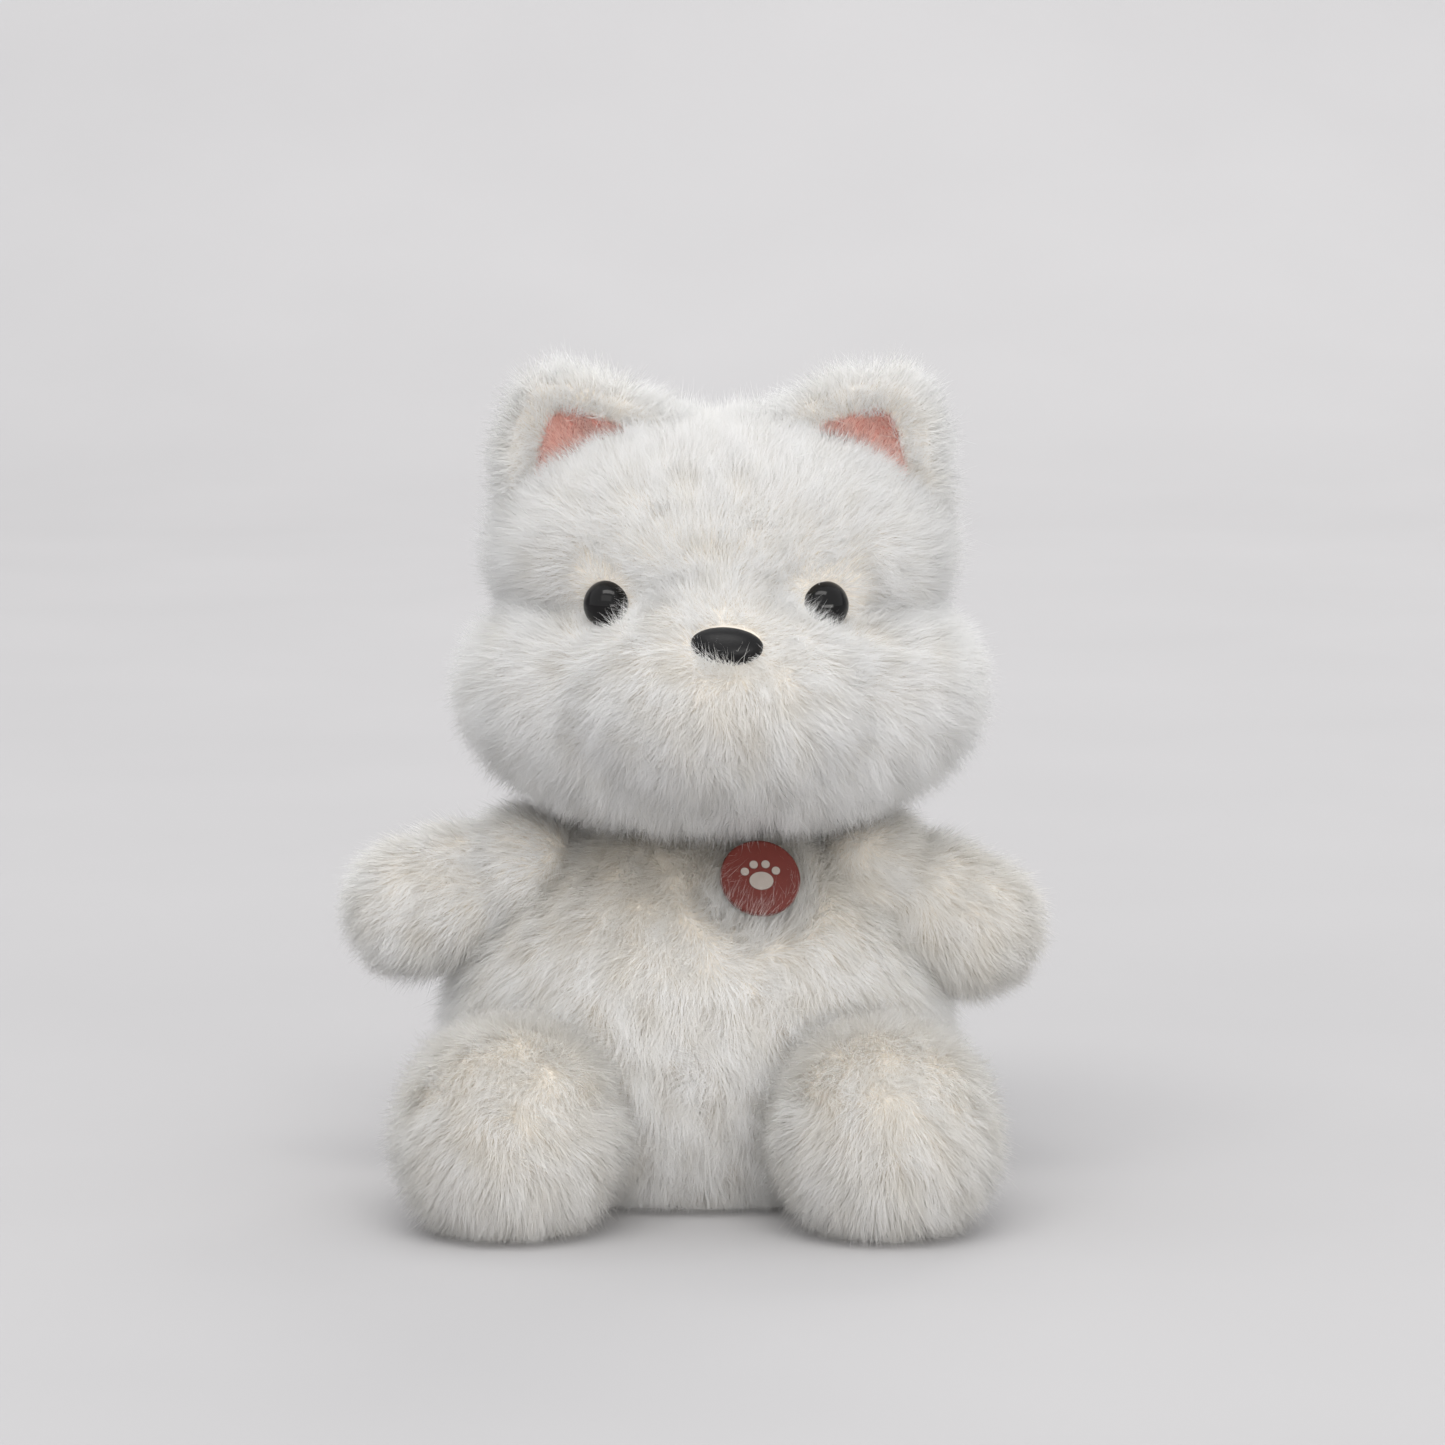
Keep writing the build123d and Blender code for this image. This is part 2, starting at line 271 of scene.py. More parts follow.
def sewnSkin(name, mesh, soften, voxel=2.2 * mm, dent=None, floor=None, stuff=True):
    # dent(points) -> how far seams and buttons draw each point of the cloth inwards
    thing = addObject(name, mesh)
    remesh = thing.modifiers.new("remesh", "REMESH")
    remesh.mode = "VOXEL"
    remesh.voxel_size = voxel
    smooth = thing.modifiers.new("smooth", "SMOOTH")
    smooth.factor = 0.5
    smooth.iterations = soften
    applyModifiers(thing)
    if stuff:
        inflate(thing)
    co = coordinates(thing.data)
    if dent:
        co -= vertexNormals(thing.data) * dent(co)[:, None]
    if floor is not None:
        low = co[:, 2] < floor
        co[low, 2] = floor + (co[low, 2] - floor) * 0.02
    setCoordinates(thing.data, co)
    thing.data.polygons.foreach_set("use_smooth", [True] * len(thing.data.polygons))
    print("skin", name, len(thing.data.polygons), "faces")
    return thing


def knittedBacking(name, colour):
    # knitted polyester backing: close stitches, 1.2 mm apart, with a dull surface
    material, nodes, links, output = newMaterial(name)
    where = addNode(nodes, links, "ShaderNodeTexCoord")
    stitch = addNode(nodes, links, "ShaderNodeTexVoronoi", None, {
        "Vector": where.outputs["Object"], "Scale": 1 / (1.2 * mm),
    })
    tone = addNode(nodes, links, "ShaderNodeMapRange", None, {
        0: stitch.outputs["Distance"], "To Min": 1.0, "To Max": 0.86,
    })
    base = addNode(nodes, links, "ShaderNodeMixRGB", {"blend_type": "MULTIPLY"}, {
        "Fac": 1.0, "Color1": toLinear(colour), "Color2": tone.outputs[0],
    })
    shader = addNode(nodes, links, "ShaderNodeBsdfPrincipled", None, {
        "Base Color": base.outputs[0], "Roughness": 0.9, "Specular IOR Level": 0.1,
    })
    links.new(shader.outputs[0], output.inputs[0])
    return material


# long pile: every strand is a tapered ribbon rooted in a skin
pile = {
    "density": 6.6e6,  # strands in a square metre; real pile is closer and finer, so each one is wider here
    "rootWidth": 0.12 * mm,
    "tipWidth": 0.02 * mm,
    "steps": (0.0, 0.55, 1.0),
    "clump": 1.7 * mm,  # spacing of the small locks
    "lock": 6.5 * mm,  # spacing of the large ones
    # root, middle and tip run along a strand, the root darker as painted shade down in the coat; cream and
    # shaded tint whole strands, shaded being painted shade
    "white": {
        "root": "#eeece9", "middle": "#fbfbfa", "tip": "#ffffff", "cream": "#f3f1ed", "shaded": "#d6cebf",
    },
    "pink": {
        "root": "#deb0a5", "middle": "#f6cec2", "tip": "#ffded4", "cream": "#f8ece8", "shaded": "#d8b8b0",
    },
    "combSpread": 0.36,  # how untidily neighbouring strands lie
    "leanSpread": 0.16,
    "bendSpread": 0.14,
    "roughness": 0.62,
    "sheen": 0.15,
    "guardShare": 0.06,  # strands that stand out past the rest
    "guardLength": 1.18,
    "through": 0.46,  # share of light that passes on through a strand
}


def pileMaterial(name, colours):
    # acrylic pile: soft and bright at the tips, cream-tinted at random, with painted shade, creamier and
    # darker, where it parts and near the cloth
    material, nodes, links, output = newMaterial(name)
    strand = addNode(nodes, links, "ShaderNodeUVMap", {"uv_map": "OFBake"})
    parts = addNode(nodes, links, "ShaderNodeSeparateXYZ", None, {0: strand.outputs[0]})
    # the root is darker than the tip: painted shade down in the coat
    along = addNode(nodes, links, "ShaderNodeValToRGB", None, {0: parts.outputs[1]})
    along.color_ramp.elements[0].color = toLinear(colours["root"])
    along.color_ramp.elements[1].color = toLinear(colours["tip"])
    along.color_ramp.elements.new(0.42).color = toLinear(colours["middle"])
    # the tint runs white, cream, then shaded, the painted shade that shade() pushes strands towards
    tint = addNode(nodes, links, "ShaderNodeValToRGB", None, {0: parts.outputs[0]})
    tint.color_ramp.elements[0].position = 0.28
    tint.color_ramp.elements[0].color = (1, 1, 1, 1)
    tint.color_ramp.elements[1].color = toLinear(colours["shaded"])
    tint.color_ramp.elements.new(0.6).color = toLinear(colours["cream"])
    colour = addNode(nodes, links, "ShaderNodeMixRGB", {"blend_type": "MULTIPLY"}, {
        "Fac": 1.0, "Color1": along.outputs[0], "Color2": tint.outputs[0],
    })
    gloss = addNode(nodes, links, "ShaderNodeBsdfPrincipled", None, {
        "Base Color": colour.outputs[0],
        "Roughness": pile["roughness"],
        "Specular IOR Level": 0.25,
        "Sheen Weight": pile["sheen"],
        "Sheen Roughness": 0.4,
    })
    through = addNode(nodes, links, "ShaderNodeBsdfTranslucent", None, {"Color": colour.outputs[0]})
    both = addNode(nodes, links, "ShaderNodeMixShader", None, {
        0: pile["through"], 1: gloss.outputs[0], 2: through.outputs[0],
    })
    links.new(both.outputs[0], output.inputs[0])
    return material


def scatter(skin, density, keep):
    # even random roots on a skin; keep gives each one's chance of staying
    mesh = skin.data
    mesh.calc_loop_triangles()
    corners = np.empty(len(mesh.loop_triangles) * 3, np.int32)
    mesh.loop_triangles.foreach_get("vertices", corners)
    corners = corners.reshape(-1, 3)
    co, normals = coordinates(mesh), vertexNormals(mesh)
    a, b, c = co[corners[:, 0]], co[corners[:, 1]], co[corners[:, 2]]
    total = np.cumsum(np.linalg.norm(np.cross(b - a, c - a), axis=1) / 2)
    count = int(total[-1] * density)
    pick = np.searchsorted(total, dice.random(count) * total[-1]).clip(0, len(total) - 1)
    u, v = dice.random(count), dice.random(count)
    fold = u + v > 1
    u[fold], v[fold] = 1 - u[fold], 1 - v[fold]
    share = np.stack([1 - u - v, u, v], 1)[:, :, None]
    roots = (co[corners[pick]] * share).sum(1)
    ways = unit((normals[corners[pick]] * share).sum(1))
    stay = dice.random(count) < keep(roots, ways)
    return roots[stay], ways[stay]


def waves(points, size, seed, count=7):
    # smooth unevenness between about -1 and 1; one seed gives one field, so it runs on over a seam
    own = np.random.default_rng(seed)
    total = np.zeros(len(points))
    for _ in range(count):
        way = unit(own.normal(size=3)) / size * own.uniform(0.7, 1.5)
        total += np.sin(points @ way * 2 * math.pi + own.uniform(0, 6.28))
    return total / math.sqrt(count) * 0.9


def gatherInto(points, roots, spacing, pull, density):
    # draws the tips of neighbouring strands together into locks
    count = max(3, int(len(roots) / density / spacing**2))
    chosen = dice.choice(len(roots), min(count, len(roots)), replace=False)
    tree = kdtree.KDTree(len(chosen))
    for index, strand in enumerate(chosen):
        tree.insert(roots[strand], index)
    tree.balance()
    leader = chosen[np.array([tree.find(root)[1] for root in roots])]
    for level, step in enumerate(pile["steps"]):
        points[:, level] += (points[leader, level] - points[:, level]) * (pull * step**1.4)[:, None]
    return points


def growPile(name, skin, combing, keep, material, density, widths, shade, floor=0.25 * mm):
    # combing(roots, normals) -> comb direction, length, lean from the normal, droop, lock strength
    roots, ways = scatter(skin, density, keep)
    comb, length, lean, droop, pull = combing(roots, ways)
    count = len(roots)
    parting = waves(roots, 10 * mm, 1)
    length = np.broadcast_to(length, count) * dice.uniform(0.68, 1.12, count)
    comb = comb + dice.normal(scale=pile["combSpread"], size=(count, 3))
    comb = comb + np.stack([waves(roots, 13 * mm, seed) for seed in (2, 3, 4)], 1) * 0.55
    comb = unit(comb - (comb * ways).sum(1, keepdims=True) * ways)
    lean = np.broadcast_to(lean, count) + parting * 0.16 + dice.normal(scale=pile["leanSpread"], size=count)
    lean = np.clip(lean, 0.08, 1.42)[:, None]
    start = unit(ways * np.cos(lean) + comb * np.sin(lean) + dice.normal(scale=0.09, size=(count, 3)))
    bend = comb * 0.24 + np.array([0, 0, -1.0]) * np.broadcast_to(droop, count)[:, None]
    bend = bend + dice.normal(scale=pile["bendSpread"], size=(count, 3))
    steps = np.array(pile["steps"])
    points = roots[:, None] + length[:, None, None] * (
        start[:, None] * steps[None, :, None] + bend[:, None] * (steps**2)[None, :, None]
    )
    pull = np.broadcast_to(pull, count)
    points = gatherInto(points, roots, pile["clump"], pull * dice.uniform(0.4, 1.0, count), density)
    points = gatherInto(points, roots, pile["lock"], pull * 0.4, density)
    guard = np.where(dice.random(count) < pile["guardShare"], pile["guardLength"], 1.0)
    points = roots[:, None] + (points - roots[:, None]) * guard[:, None, None]
    points[:, :, 2] = np.maximum(points[:, :, 2], floor)
    # painted shade where the pile parts, darker and creamier, over a random cream tone per strand
    creamAndShade = np.clip(0.22 + 0.22 * parting + 0.08 * dice.normal(size=count), 0, 0.6)
    if shade:
        shaded = shade(roots)  # painted shade, from 0, the strand as it comes, to 1, darker and creamier all over
        creamAndShade = creamAndShade * (1 - 0.8 * shaded) + 0.64 * shaded
    return ribbonMesh(name, points, ways, creamAndShade, material, widths)


def ribbonMesh(name, points, ways, creamAndShade, material, widths):
    count = len(points)
    tangents = unit(points[:, -1] - points[:, 0])
    across = unit(np.cross(tangents, ways) + dice.normal(scale=1e-4, size=(count, 3)))
    twist = dice.uniform(-1.0, 1.0, count)[:, None]
    side = unit(across * np.cos(twist) + np.cross(tangents, across) * np.sin(twist))
    steps = np.array(pile["steps"])
    half = (widths[0] + (widths[1] - widths[0]) * steps**1.3) / 2
    vertices = np.empty((count, 5, 3), np.float32)
    for level in range(2):
        vertices[:, 2 * level] = points[:, level] - side * half[level]
        vertices[:, 2 * level + 1] = points[:, level] + side * half[level]
    vertices[:, 4] = points[:, 2]
    sizes = np.tile([4, 3], count).astype(np.int32)
    corners = (np.array([0, 1, 3, 2, 2, 3, 4]) + 5 * np.arange(count)[:, None]).astype(np.int32).ravel()
    mesh = bpy.data.meshes.new(name)
    mesh.vertices.add(count * 5)
    mesh.vertices.foreach_set("co", vertices.ravel())
    mesh.loops.add(len(corners))
    mesh.loops.foreach_set("vertex_index", corners)
    mesh.polygons.add(len(sizes))
    mesh.polygons.foreach_set("loop_start", np.concatenate([[0], np.cumsum(sizes)[:-1]]).astype(np.int32))
    mesh.polygons.foreach_set("use_smooth", np.ones(len(sizes), bool))
    mesh.update(calc_edges=True)
    # strand map: the column says how much cream tint and painted shade the strand has, and the row runs
    # from root to tip
    column = np.floor(creamAndShade * 480) / 500 + 0.01
    level = np.array([0, 0, 1, 1, 1, 1, 2])
    edge = np.array([0, 1, 1, 0, 0, 1, 0.5])
    uv = np.empty((count, 7, 2), np.float32)
    uv[:, :, 0] = column[:, None] + edge[None] * 0.0016
    uv[:, :, 1] = 0.02 + 0.96 * steps[level][None]
    mesh.uv_layers.new(name="OFBake").data.foreach_set("uv", uv.ravel())
    # shade each strand by the coat it lies in, not by its own narrow face
    soft = unit(ways * 0.85 + tangents * 0.3 + np.array([0, 0, 0.42]))
    mesh.normals_split_custom_set_from_vertices(np.repeat(soft, 5, axis=0).astype(np.float32))
    mesh.materials.append(material)
    print("pile", name, count, "strands")
    return addObject(name, mesh)


whitePile = pileMaterial("acrylic_plush_pile", pile["white"])
pinkPile = pileMaterial("pink_velboa_pile", pile["pink"])
# the white pile's backing is darker and creamier than the pile: painted shade for the cloth seen where the
# coat parts
whiteBacking = knittedBacking("knitted_backing", "#e2dace")
pinkBacking = knittedBacking("pink_backing", "#cb8f84")


def dress(skin, body, nodes, material=None):
    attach(skin, body)
    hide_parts(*nodes)
    skin.data.materials.clear()
    skin.data.materials.append(material or whiteBacking)


def coat(
    name, skin, body, combing, keep,
    material=None, density=None, widths=None, shade=None,
):
    widths = widths or (pile["rootWidth"], pile["tipWidth"])
    density = density or pile["density"]
    strands = growPile(name, skin, combing, keep, material or whitePile, density, widths, shade)
    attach(strands, body)


def inside(points, lumps, grow=0.0):
    # how deep each point lies in some ellipsoids: below 1 is inside
    deep = np.full(len(points), 9.0)
    for middle, half, turn in lumps:
        local = points - np.array(middle)
        if turn is not None:
            local = local @ np.array(turn.to_3x3())
        deep = np.minimum(deep, np.linalg.norm(local / (np.array(half) + grow), axis=1))
    return deep


buildStudio()

# head: skull, cheeks and muzzle run into each other
head = {
    # half sizes of each lump
    "skull": (54 * mm, 48 * mm, 32 * mm),
    "cheeks": (62 * mm, 50 * mm, 31 * mm),
    "muzzle": (36 * mm, 28 * mm, 24 * mm),
    "crownPile": 8.0 * mm,
    "cheekPile": 9.0 * mm,
    "bridge": (20 * mm, 19 * mm, 16 * mm),
    "nape": (53 * mm, 44 * mm, 24 * mm),
    "bridgePile": 3.6 * mm,  # round the nose and between the eyes
    "chinPile": 9.5 * mm,
    "backPile": 9.0 * mm,
    "crease": 1.0 * mm,  # how deep the seam level with the eyes draws in
}
eye = {"radius": 6.0 * mm, "lift": 4.9 * mm, "way": (0.42, -0.9, 0.12)}
nose = {"half": (8.75 * mm, 6.0 * mm, 4.0 * mm), "way": (0, -0.82, 0.57), "roll": -5.0}

headLow, headHigh, headMiddle = boxOf("head_top_panel", "head_face_panel", "head_back_panel")[:3]
browSeam = boxOf("head_top_panel")[0][2]
backSeam = boxOf("head_back_panel")[0][1]
headX = headMiddle[0]
headLumps = [
    ((headX, headHigh[1] - 48 * mm, headHigh[2] - 32 * mm), head["skull"], None),
    ((headX, headHigh[1] - 57 * mm, headLow[2] + 28 * mm), head["cheeks"], None),
    ((headX, headLow[1] + 28 * mm, headLow[2] + 32 * mm), head["muzzle"], None),
    ((headX, headLow[1] + 31 * mm, headLow[2] + 47 * mm), head["bridge"], None),
    ((headX, headHigh[1] - 49 * mm, headLow[2] + 42 * mm), head["nape"], None),
]
eyeAt = {}
for side in ("left", "right"):
    low, high, middle, half = boxOf(f"{side}_eye")
    x = high[0] - eye["radius"] if side == "left" else low[0] + eye["radius"]
    eyeAt[side] = np.array([x, low[1] + eye["radius"], high[2] - eye["radius"]])
noseLow, noseHigh, noseMiddle = boxOf("nose")[:3]
noseAt = np.array([noseMiddle[0], noseLow[1] + 4.74 * mm, noseHigh[2] - 5.42 * mm])
earRoots = {side: jointAt(f"{side}_ear_fold") for side in ("left", "right")}


def headDent(points):
    sideways = ramp(np.abs(points[:, 0] - headX), 20 * mm, 34 * mm)
    depth = head["crease"] * np.exp(-(((points[:, 2] - browSeam - 3 * mm) / (4.5 * mm)) ** 2)) * sideways
    depth = depth * ramp(-points[:, 1], -20 * mm, 5 * mm)
    for middle in eyeAt.values():
        depth += 1.2 * mm * np.exp(-((np.linalg.norm(points - middle, axis=1) / (9 * mm)) ** 2))
    return depth


headSkin = sewnSkin("head_skin", lumpMesh(headLumps), 10, dent=headDent)
dress(headSkin, "head", ("head_top_panel", "head_face_panel", "head_back_panel", "head_stuffing"))


def headCombing(points, ways):
    fromNose = points - noseAt
    above = ramp(fromNose[:, 2], 4 * mm, 26 * mm)
    behind = ramp(points[:, 1], 10 * mm, 40 * mm)
    comb = unit(fromNose)
    comb[:, 2] -= 0.35 * (1 - above)
    comb[:, 2] -= 0.9 * behind
    length = head["cheekPile"] + (head["crownPile"] - head["cheekPile"]) * above
    chin = ramp(headLow[2] + 22 * mm - points[:, 2], 0, 16 * mm)
    length = length + (head["chinPile"] - head["cheekPile"]) * chin
    length = length + (head["backPile"] - length) * behind
    # short round the nose, up the bridge and round the eyes
    near = np.linalg.norm(fromNose * [1, 1, 0.8], axis=1)
    face = np.exp(-((near / (19 * mm)) ** 2))
    for middle in eyeAt.values():
        face = np.maximum(face, np.exp(-((np.linalg.norm(points - middle, axis=1) / (11 * mm)) ** 2)))
    length = length + (head["bridgePile"] - length) * face
    lean = 0.66 - 0.1 * above + 0.2 * face
    fan = np.exp(-((np.linalg.norm(fromNose + np.array([0, 0, 16 * mm]), axis=1) / (20 * mm)) ** 2))
    lean = lean + 0.12 * fan
    droop = 0.05 + 0.14 * chin
    # fuller below each ear, so that the ear grows out of the side of the head
    for side, root in earRoots.items():
        sign = 1 if side == "left" else -1
        tuft = root + np.array([sign * 20 * mm, -2 * mm, -14 * mm])
        near = np.exp(-((np.linalg.norm(points - tuft, axis=1) / (13 * mm)) ** 2))
        length = length + 4.0 * mm * near
        comb += near[:, None] * np.array([0.5 * sign, -0.2, 1.2])
        saddle = root + np.array([-sign * 22 * mm, 0, 8 * mm])
        near = np.exp(-((np.linalg.norm(points - saddle, axis=1) / (10 * mm)) ** 2))
        length = length + 5.5 * mm * near
        comb += near[:, None] * np.array([0.5 * sign, -0.2, 1.6])
    # the pile under each eye stands up over its lower edge, and the rest parts round it
    for middle in eyeAt.values():
        away = points - middle
        close = np.exp(-((np.maximum(np.linalg.norm(away, axis=1) - 8 * mm, 0) / (5 * mm)) ** 2))
        below = ramp(-away[:, 2], 3 * mm, 6 * mm)
        aim = unit(away) * (1 - 0.9 * below)[:, None]
        comb = comb * (1 - close)[:, None] + aim * close[:, None]
        lean = lean * (1 - close * 0.45 * below) + 0.35 * close * (1 - below)
        length = length * (1 - 0.4 * close * (1 - 0.5 * below))
    # a tuft rises over the nose's lower edge
    belowNose = (fromNose + np.array([0, 0, 6 * mm])) / [9, 6, 3.5] / mm
    under = np.exp(-(np.linalg.norm(belowNose, axis=1) ** 2))
    comb[:, 2] += 2.2 * under
    lean = lean * (1 - 0.3 * under)
    length = length + 3.2 * mm * under
    return comb, length, lean, droop, 0.14 - 0.06 * face


def headKeep(points, ways):
    chance = 0.72 + 0.28 * np.exp(-((np.linalg.norm(points - noseAt, axis=1) / (34 * mm)) ** 2))
    for middle in eyeAt.values():
        chance[np.linalg.norm(points - middle, axis=1) < 6.1 * mm] = 0
    fromNose = (points - noseAt - np.array([0, 0, 1.2 * mm])) / np.array([8.0, 7.0, 3.6]) / mm
    chance[np.linalg.norm(fromNose, axis=1) < 1] = 0
    return chance


def muzzleShade(points):
    # painted shade: creamier and darker below the nose
    away = np.linalg.norm(points - noseAt + np.array([0, 0, 14 * mm]), axis=1)
    return 0.7 * np.exp(-((away / (20 * mm)) ** 2))


faceDensity = pile["density"] / 0.76
coat("head_top_pile", headSkin, "head", headCombing, density=faceDensity,
     keep=lambda p, n: headKeep(p, n) * (p[:, 1] < backSeam) * (p[:, 2] >= browSeam), shade=muzzleShade)
coat("head_face_pile", headSkin, "head", headCombing, density=faceDensity,
     keep=lambda p, n: headKeep(p, n) * (p[:, 1] < backSeam) * (p[:, 2] < browSeam), shade=muzzleShade)
coat("head_back_pile", headSkin, "head", headCombing, density=faceDensity,
     keep=lambda p, n: headKeep(p, n) * (p[:, 1] >= backSeam))

# ears: cupped flaps with a thick furry rim round a small pink lining
ear = {
    "halfWidth": 25 * mm,
    "height": 19.5 * mm,
    "thick": 8.4 * mm,
    "slope": 33.0,  # degrees that the seam falls towards the side
    "cup": 4.5 * mm,
    "seamBend": 9.5 * mm,
    "rimPile": 7.6 * mm,
    "rimDensity": 8.6e6,
    "rimWidths": (0.11 * mm, 0.02 * mm),
    "liningPile": 2.2 * mm,
    "liningDensity": 1.1e7,
    "liningWidths": (0.15 * mm, 0.05 * mm),
    "liningHalf": 14.0 * mm,
    "liningHeight": 10.6 * mm,
    "liningShift": 0.2 * mm,
}


def earAxes(side):
    sign = 1 if side == "left" else -1
    tilt = math.radians(ear["slope"])
    inward = np.array([-sign * math.cos(tilt), 0, math.sin(tilt)])
    out = np.array([sign * math.sin(tilt), 0, math.cos(tilt)])
    return inward, out


def earPoint(side, u, v, inset=0.0):
    # u runs along the seam towards the crown, v from the seam up to the rim
    inward, out = earAxes(side)
    a, b = u / ear["halfWidth"], max(v, 0) / ear["height"]
    depth = ear["cup"] * (0.45 - a * a * (1 - 0.4 * b)) - 2.0 * mm * b * b - inset
    return earRoots[side] + inward * u + out * (v - 1.0 * mm) + np.array([0, depth, 0])


def earLocal(side, points):
    inward, out = earAxes(side)
    away = points - earRoots[side]
    return away @ inward, away @ out


def flapMesh(name, side, columns, rows, edge, inset=0.0):
    # edge(b) -> the lowest and highest u and the height at b; the ends of the seam bend down onto the skull
    grid, faces = [], []
    for row in range(rows + 1):
        low, high, v = edge(row / rows)
        for column in range(columns + 1):
            u = low + (high - low) * column / columns
            bend = ear["seamBend"] * (u / ear["halfWidth"]) ** 2 * (1 - row / rows)
            grid.append(tuple(earPoint(side, u, v - bend, inset)))
    for row in range(rows):
        for column in range(columns):
            first = row * (columns + 1) + column
            faces.append((first, first + 1, first + columns + 2, first + columns + 1))
    mesh = bpy.data.meshes.new(name)
    mesh.from_pydata(grid, [], faces)
    return mesh


def thicken(thing, thickness):
    shell = thing.modifiers.new("thickness", "SOLIDIFY")
    shell.thickness = thickness
    shell.offset = 0.0
    applyModifiers(thing)


def earEdge(b):
    half = ear["halfWidth"] * (1.02 - b) ** 0.72
    return -half, half, ear["height"] * b


def liningEdge(b):
    half = ear["liningHalf"] * (1 - 0.9 * b)
    low = ear["liningShift"] - half
    high = ear["liningShift"] + half + 0.12 * ear["liningHalf"] * b
    return low, high, ear["liningHeight"] * b


def buildEar(side):
    body = f"{side}_ear"
    flap = addObject("flap", flapMesh("flap", side, 28, 18, earEdge))
    thicken(flap, ear["thick"])
    earSkin = sewnSkin(f"{side}_ear_skin", flap.data, 5, voxel=1.1 * mm, stuff=False)
    bpy.data.objects.remove(flap)
    dress(earSkin, body, [f"{side}_ear_outer"])

    face = flapMesh("face", side, 20, 12, liningEdge, inset=ear["thick"] / 2 + 0.1 * mm)
    lining = addObject(f"{side}_ear_lining_cloth", face)
    thicken(lining, 0.8 * mm)
    lining.data.polygons.foreach_set("use_smooth", [True] * len(lining.data.polygons))
    dress(lining, body, [f"{side}_ear_lining"], material=pinkBacking)

    def onLining(points, ways):
        u, v = earLocal(side, points)
        reach = ear["liningHeight"] * (1 - np.abs(u - ear["liningShift"]) / ear["liningHalf"])
        return (ways[:, 1] < -0.2) & (v < reach - 1.5 * mm)

    def rimCombing(points, ways):
        inward, out = earAxes(side)
        u, v = earLocal(side, points)
        comb = (u / (17 * mm))[:, None] * inward + (0.35 + v / (20 * mm))[:, None] * out
        front = ways[:, 1] < -0.2
        return comb, np.where(front, 0.85, 1.0) * ear["rimPile"], np.where(front, 0.55, 0.7), 0.0, 0.1

    def liningCombing(points, ways):
        return np.tile(earAxes(side)[1], (len(points), 1)), ear["liningPile"], 0.7, 0.0, 0.2

    coat(f"{side}_ear_pile", earSkin, body, rimCombing, lambda p, n: 1.0 - onLining(p, n),
         density=ear["rimDensity"], widths=ear["rimWidths"])
    coat(f"{side}_ear_lining_pile", lining, body, liningCombing, lambda p, n: (n[:, 1] < 0) * 1.0,
         pinkPile, density=ear["liningDensity"], widths=ear["liningWidths"])


for side in ("left", "right"):
    buildEar(side)
print("head and ears grown")

# moulded plastics
plastics = {
    # polished black ABS eye: deep gloss and a tight highlight
    "polished_black_abs": {
        "dark": "#090808", "light": "#100f0f",
        "roughness": 0.1, "specular": 0.24, "grain": 3.0, "depth": 0.002,
    },
    # satin nose, moulded with a fine grain that breaks the highlight up
    "grained_black_abs": {
        "dark": "#050506", "light": "#0c0b0d",
        "roughness": 0.38, "specular": 0.24, "grain": 0.5, "depth": 0.06,
    },
    # unpainted washers inside the cloth: milky and slightly uneven
    "natural_polypropylene": {
        "dark": "#d9d8d2", "light": "#e6e5df",
        "roughness": 0.4, "specular": 0.5, "grain": 2.0, "depth": 0.02,
    },
    # badge: brick-red enamel on a pressed disc, and the pale enamel let into it
    "red_enamel": {
        "dark": "#58241f", "light": "#642c25",
        "roughness": 0.5, "specular": 0.22, "grain": 1.6, "depth": 0.02,
    },
    "pale_enamel": {
        "dark": "#8f867f", "light": "#9a9189",
        "roughness": 0.5, "specular": 0.22, "grain": 1.6, "depth": 0.02,
    },
}


def mouldedPlastic(name):
    setting = plastics[name]
    material, nodes, links, output = newMaterial(name)
    where = addNode(nodes, links, "ShaderNodeTexCoord")
    grain = addNode(nodes, links, "ShaderNodeTexNoise", None, {
        "Vector": where.outputs["Object"], "Scale": 1 / (setting["grain"] * mm), "Detail": 3.0,
    })
    tone = addNode(nodes, links, "ShaderNodeMixRGB", None, {
        "Fac": grain.outputs["Fac"],
        "Color1": toLinear(setting["dark"]),
        "Color2": toLinear(setting["light"]),
    })
    bump = addNode(nodes, links, "ShaderNodeBump", None, {
        "Height": grain.outputs["Fac"], "Strength": 1.0, "Distance": setting["depth"] * mm,
    })
    shader = addNode(nodes, links, "ShaderNodeBsdfPrincipled", None, {
        "Base Color": tone.outputs[0],
        "Roughness": setting["roughness"],
        "Specular IOR Level": setting["specular"],
        "Normal": bump.outputs[0],
    })
    links.new(shader.outputs[0], output.inputs[0])
    return material


def turned(name, profile, rounds):
    # spins a (radius, height) profile about Z
    shape = bmesh.new()
    rings = []
    for radius, height in profile:
        turns = [2 * math.pi * i / rounds for i in range(rounds)] if radius > 1e-6 else [0.0]
        rings.append([shape.verts.new((radius * math.cos(t), radius * math.sin(t), height)) for t in turns])
    for lower, upper in zip(rings, rings[1:]):
        for i in range(rounds):
            corners = [lower[i % len(lower)], lower[(i + 1) % rounds % len(lower)]]
            corners += [upper[(i + 1) % rounds % len(upper)], upper[i % len(upper)]]
            corners = list(dict.fromkeys(corners))
            if len(corners) > 2:
                shape.faces.new(corners)
    bmesh.ops.recalc_face_normals(shape, faces=shape.faces)
    mesh = bpy.data.meshes.new(name)
    shape.to_mesh(mesh)
    shape.free()
    mesh.polygons.foreach_set("use_smooth", [True] * len(mesh.polygons))
    return addObject(name, mesh)


def fitButton(button, node, material, at, turn):
    button.matrix_world = Matrix.Translation(at) @ turn
    button.data.materials.append(material)
    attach(button, "head")
    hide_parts(node)


